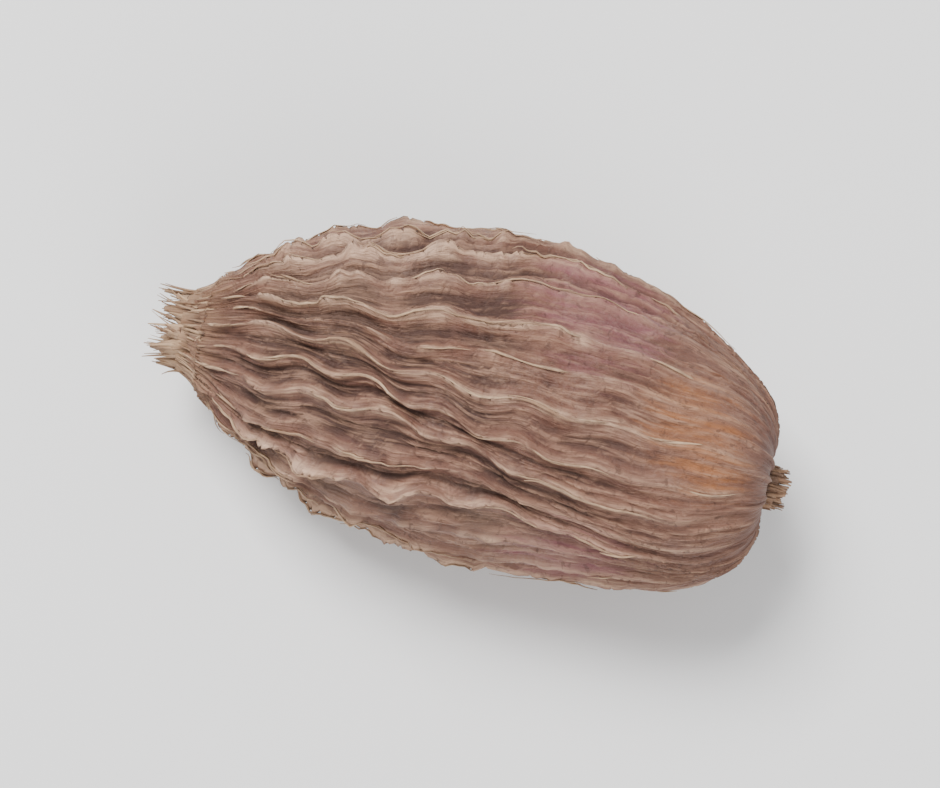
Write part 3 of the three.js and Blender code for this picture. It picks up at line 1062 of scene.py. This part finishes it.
def make_threads():
    draw = drawer(SEED + 3)
    made = []
    for _ in range(THREADS):
        k = int(draw() * RIBS) % RIBS
        start = 0.3 + 0.62 * draw() ** 0.7
        length = between(THREAD_LENGTHS, draw) * (1 if draw() < TOWARDS_CALYX else -1)
        drift = 0.12 * (draw() - 0.5)
        aside = 0.03 * (draw() - 0.5)
        lift = 0.02 + 0.26 * draw() ** 2.5
        size = between(THREAD_SIZES, draw)
        t = start + length * RING_SHARE
        share = aside + drift * RING_SHARE**2
        before = share < 0
        rib_here = np.where(before, (k - 1) % RIBS, k)
        share = np.where(before, 1 + share, share)
        height = 0.02 + lift * RING_SHARE**2 - ROOT_DEPTH * (1 - RING_SHARE) ** 4
        path = skin(t, rib_here, share, lift=height)
        outward = skin(t, rib_here, share, lift=height + 0.5) - path
        made.append(strand(path, outward, spindle(size * 1.5, 0.2), spindle(size, 0.25), draw()))
    return made


threads = finish_piece(joined(make_threads()), "rib_threads", "husk", loose_straw)
bpy.data.objects.remove(stick)

# %% [markdown]
# ## The table, the light and the camera
#
# The pod lies on a plain pale table, under a soft light from the upper left. A weaker and larger one from
# the lower right and the pale world keep the colour of the shaded flank. The camera looks almost straight
# down, and is turned so that the pod slopes down to the right.

# %% Table, light and camera
CENTRE = Vector((0, 0, 5 * MM))
CAMERA_HEIGHT_ANGLE = math.radians(78)
CAMERA_ROLL = math.radians(13)
CAMERA_LENS = 90
SENSOR = 36
VIEW_WIDTH = 40 * MM
TABLE_SIZE = 3
TABLE_COLOUR = (0.9, 0.893, 0.885, 1)
KEY_LIGHT = ((-0.15, 0.12, 0.32), 0.16, 2.12)  # place, size and watts
FILL_LIGHT = ((0.2, -0.24, 0.2), 0.3, 0.9)
WORLD_COLOUR = (0.95, 0.97, 1, 1)
WORLD_STRENGTH = 0.55


def make_table():
    deselect()
    bpy.ops.mesh.primitive_plane_add(size=TABLE_SIZE)
    table = bpy.context.object
    table.name = "table"
    material, _, surface = new_material("Pale table", 0.2)
    surface["Base Color"].default_value = TABLE_COLOUR
    surface["Roughness"].default_value = 0.6
    table.data.materials.append(material)
    table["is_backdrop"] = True


def add_light(name, place, size, watts):
    deselect()
    bpy.ops.object.light_add(type="AREA", location=place)
    light = bpy.context.object
    light.name = name
    light.data.size = size
    light.data.energy = watts
    light.rotation_mode = "QUATERNION"
    light.rotation_quaternion = (CENTRE - light.location).to_track_quat("-Z", "Y")


def add_camera():
    deselect()
    back = Vector((0, -math.cos(CAMERA_HEIGHT_ANGLE), math.sin(CAMERA_HEIGHT_ANGLE)))
    bpy.ops.object.camera_add(location=CENTRE + back * (CAMERA_LENS * VIEW_WIDTH / SENSOR))
    camera = bpy.context.object
    camera.data.lens = CAMERA_LENS
    camera.data.sensor_width = SENSOR
    camera.data.clip_start = MM
    camera.rotation_mode = "QUATERNION"
    camera.rotation_quaternion = (-back).to_track_quat("-Z", "Y") @ Quaternion((0, 0, 1), CAMERA_ROLL)
    bpy.context.scene.camera = camera


def light_the_world():
    world = bpy.context.scene.world or bpy.data.worlds.new("Studio")
    bpy.context.scene.world = world
    world.use_nodes = True
    background = world.node_tree.nodes["Background"].inputs
    background["Color"].default_value = WORLD_COLOUR
    background["Strength"].default_value = WORLD_STRENGTH


make_table()
add_light("key light", *KEY_LIGHT)
add_light("fill light", *FILL_LIGHT)
add_camera()
light_the_world()
print("the camera is", round(CAMERA_LENS * VIEW_WIDTH / SENSOR / MM), "mm from the pod")

# %% [markdown]
# ## The size
#
# How far the fine pieces stand out past the box of the solids is printed for each axis, in millimetres.
# The fine pieces may stand out of the box of the solids by a few hundredths of each side and no more.

# %% Compare the sizes and finish
shown_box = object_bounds()
for axis, name in enumerate("XYZ"):
    past = [round((shown_box[i][axis] - cad_box[i][axis]) / MM, 2) for i in (0, 1)]
    print(name, past, "mm past the solids")
